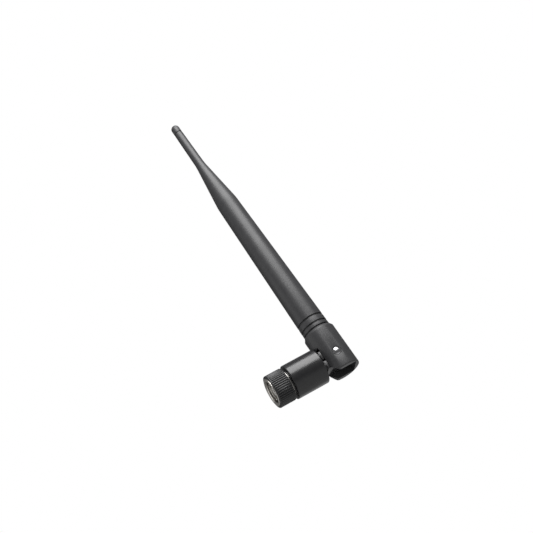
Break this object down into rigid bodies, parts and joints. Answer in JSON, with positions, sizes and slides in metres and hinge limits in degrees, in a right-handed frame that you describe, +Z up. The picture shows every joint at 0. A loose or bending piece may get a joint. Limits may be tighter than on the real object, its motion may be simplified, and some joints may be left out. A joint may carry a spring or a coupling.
{
  "type": "omnidirectional antenna",
  "caption": "Tapered whip antenna on a tilting yoke and a swivelling barrel, with a ribbed screw-on coaxial coupling nut.",
  "frame": {"origin": "centre of the coupling nut's open face, on the connector's axis", "axes": "-X out of the connector's mouth towards the jack, +Z up the whip in its right-angle pose, Y along the hinge pins"},
  "size_m": [0.0397, 0.0158, 0.1519],
  "materials": {
    "whip_plastic": "satin, fine moulded grain",
    "barrel_plastic": "satin, smoother than the whip",
    "grip_plastic": "satin",
    "nickel": "nickel plated, polished",
    "spring_metal": "plain",
    "pin_steel": "polished",
    "gold_contact": "gold plated",
    "bare_brass": "bare",
    "copper_wire": "bare copper",
    "white_insulator": "plain",
    "cable_jacket": "glossy, translucent brown",
    "seal_rubber": "plain"
  },
  "bodies": {
    "connector": {"connector_body": "nickel", "face_gasket": "seal_rubber", "front_insulator": "white_insulator", "centre_contact": "gold_contact", "rear_insulator": "white_insulator", "connector_cable": "cable_jacket", "crimp_ferrule": "nickel", "swivel_circlip": "spring_metal", "friction_o_ring": "seal_rubber"},
    "nut": {"coupling_nut": "nickel", "grip_sleeve": "grip_plastic", "retaining_ring": "spring_metal"},
    "barrel": {"barrel_shell": "barrel_plastic", "wave_washer": "spring_metal", "knuckle": "barrel_plastic", "hinge_cable": "cable_jacket"},
    "whip": {"yoke": "whip_plastic", "hinge_pins": "pin_steel", "friction_washers": "white_insulator", "whip_cover": "whip_plastic", "tip_cap": "whip_plastic", "whip_cable": "cable_jacket", "shrink_sleeve": "seal_rubber", "choke_sleeve": "bare_brass", "choke_liner": "white_insulator", "lower_radiator": "copper_wire", "phasing_coil": "copper_wire", "coil_former": "white_insulator", "upper_radiator": "copper_wire", "wire_spacers": "white_insulator"}
  },
  "joints": [
    {"name": "nut_spin", "type": "hinge", "parent": "connector", "child": "nut", "pos_m": [0, 0, 0], "axis": [1, 0, 0], "continuous": true},
    {"name": "barrel_swivel", "type": "hinge", "parent": "connector", "child": "barrel", "pos_m": [0.0125, 0, 0], "axis": [1, 0, 0], "range_deg": [-180, 180]},
    {"name": "whip_tilt", "type": "hinge", "parent": "barrel", "child": "whip", "pos_m": [0.0324, 0, 0], "axis": [0, 1, 0], "range_deg": [0, 90], "deforming": ["hinge_cable"]}
  ]
}
